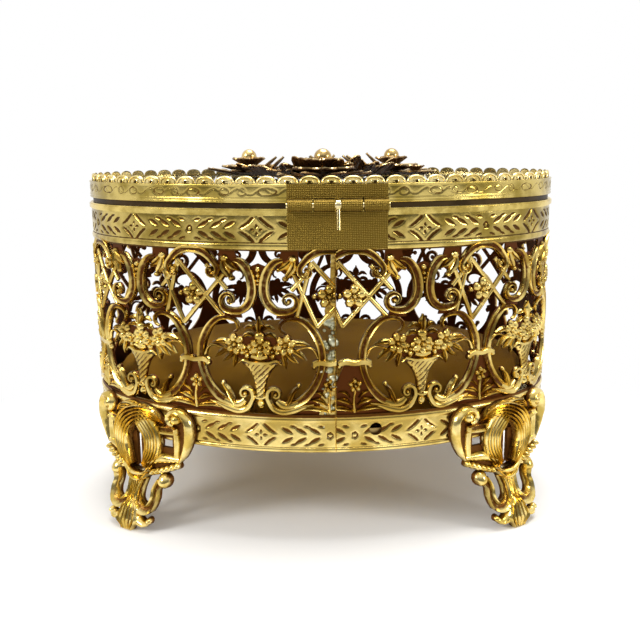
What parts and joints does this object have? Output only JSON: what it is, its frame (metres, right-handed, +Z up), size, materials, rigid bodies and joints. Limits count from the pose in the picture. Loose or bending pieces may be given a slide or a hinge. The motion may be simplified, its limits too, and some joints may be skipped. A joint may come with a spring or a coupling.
{
  "type": "oval filigree casket",
  "caption": "Oval footed casket with a pierced gilt wall, a padded floor, and a hinged bevelled-glass lid that carries applied metal flowers.",
  "frame": {"origin": "on the surface it stands on, under the middle of its outline, hinge included", "axes": "+Z up, +X along the oval's length, hinge at -Y, lid opens about +X"},
  "size_m": [0.1406, 0.1043, 0.1057],
  "materials": {
    "gilt_brass": "aged gilt over pressed brass, worn bright on the high points",
    "gilt_cast": "bright gilt casting with dark recesses",
    "rim_brass": "aged gilt brass",
    "hinge_brass": "dull brass with a pressed linen texture",
    "pin_brass": "bright brass wire",
    "floor_brass": "plain brass sheet",
    "card": "plain card",
    "pad_fabric": "old gold satin",
    "clear_glass": "polished, with a ground bevel",
    "antique_brass": "antiqued, dark in the recesses",
    "fastener_steel": "plain"
  },
  "bodies": {
    "body": {"filigree_wall": "gilt_brass", "body_rim": "rim_brass", "floor_plate": "floor_brass", "pad_card": "card", "cushion": "pad_fabric", "leg_back_left": "gilt_cast", "leg_back_right": "gilt_cast", "leg_front_left": "gilt_cast", "leg_front_right": "gilt_cast", "hinge_leaf_body": "hinge_brass", "hinge_pin": "pin_brass"},
    "lid": {"lid_band": "rim_brass", "lid_gallery": "gilt_brass", "glass_seat": "floor_brass", "lid_glass": "clear_glass", "hinge_leaf_lid": "hinge_brass", "leaf_spray": "antique_brass", "flower_left_lower": "antique_brass", "flower_middle_lower": "antique_brass", "flower_right_lower": "antique_brass", "flower_left_upper": "antique_brass", "flower_middle_upper": "antique_brass", "flower_right_upper": "antique_brass", "ball_stud_left": "antique_brass", "ball_stud_middle": "antique_brass", "ball_stud_right": "antique_brass", "bud": "antique_brass", "stud_washers": "fastener_steel", "stud_nuts": "fastener_steel"}
  },
  "joints": [
    {"name": "lid_hinge", "type": "hinge", "parent": "body", "child": "lid", "pos_m": [0.00436, -0.05012, 0.09175], "axis": [0.9989, 0.0471, 0], "range_deg": [0, 105]}
  ]
}
